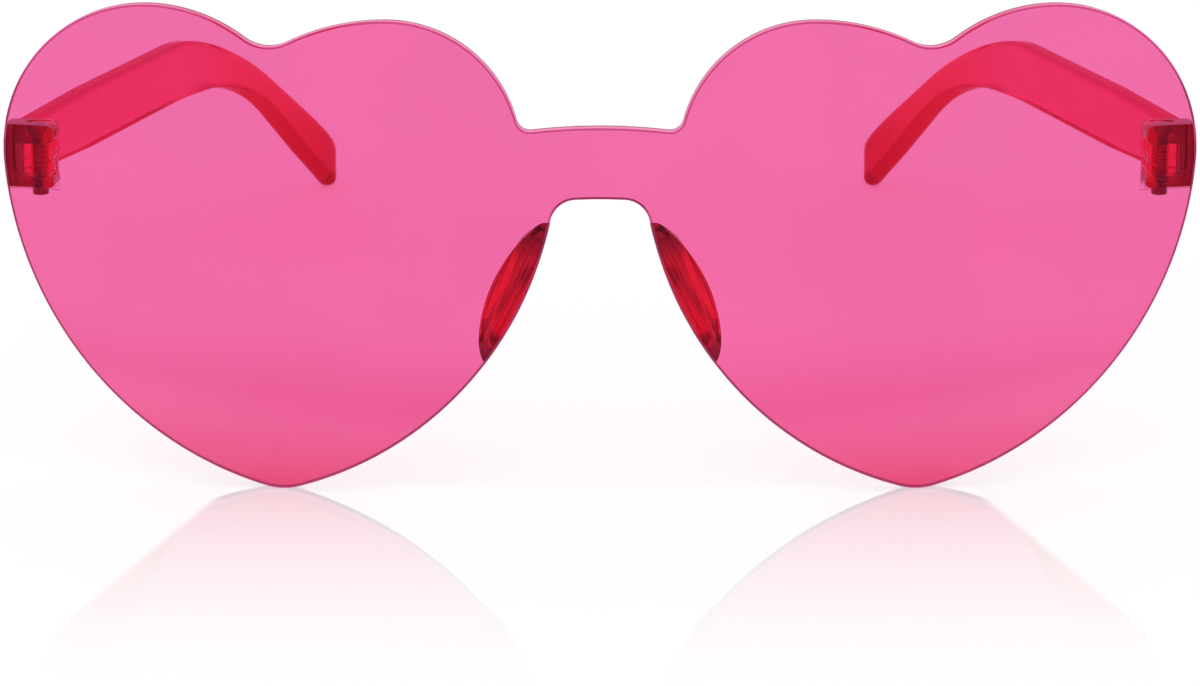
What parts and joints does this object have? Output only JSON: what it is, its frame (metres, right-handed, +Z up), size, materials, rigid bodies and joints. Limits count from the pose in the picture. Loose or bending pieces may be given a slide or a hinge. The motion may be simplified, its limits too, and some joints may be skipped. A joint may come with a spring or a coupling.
{
  "type": "heart shaped sunglasses",
  "caption": "Rimless sunglasses: a tinted shield cut to joined hearts, with bonded hinge blocks, folding temples and half-moon nose pads, worn to shade the eyes.",
  "frame": {"origin": "on the ground, at the middle of the object's width and depth", "axes": "+X towards the wearer's left, +Y from the front of the shield back along the open temples, +Z up, with the glasses standing open on the heart tips and the temple tips"},
  "size_m": [0.15, 0.1442, 0.0599],
  "materials": {
    "lens": "polished, clear pink tint",
    "temple": "polished, clear pink-red",
    "block": "polished, clear red",
    "pad": "polished, clear deep red",
    "screw": "bright",
    "glue": "clear film"
  },
  "bodies": {
    "front": {"lens_shield": "lens", "hinge_glue_left": "glue", "hinge_block_left": "block", "hinge_screw_left": "screw", "nose_pad_left": "pad", "hinge_glue_right": "glue", "hinge_block_right": "block", "hinge_screw_right": "screw", "nose_pad_right": "pad"},
    "left_arm": {"temple_left": "temple"},
    "right_arm": {"temple_right": "temple"}
  },
  "joints": [
    {"name": "left_fold", "type": "hinge", "parent": "front", "child": "left_arm", "pos_m": [0.0708, -0.05245, 0.03889], "axis": [0, 0.1281, 0.9918], "range_deg": [0, 79]},
    {"name": "right_fold", "type": "hinge", "parent": "front", "child": "right_arm", "pos_m": [-0.0708, -0.05245, 0.03889], "axis": [0, -0.1281, -0.9918], "range_deg": [0, 74]}
  ]
}
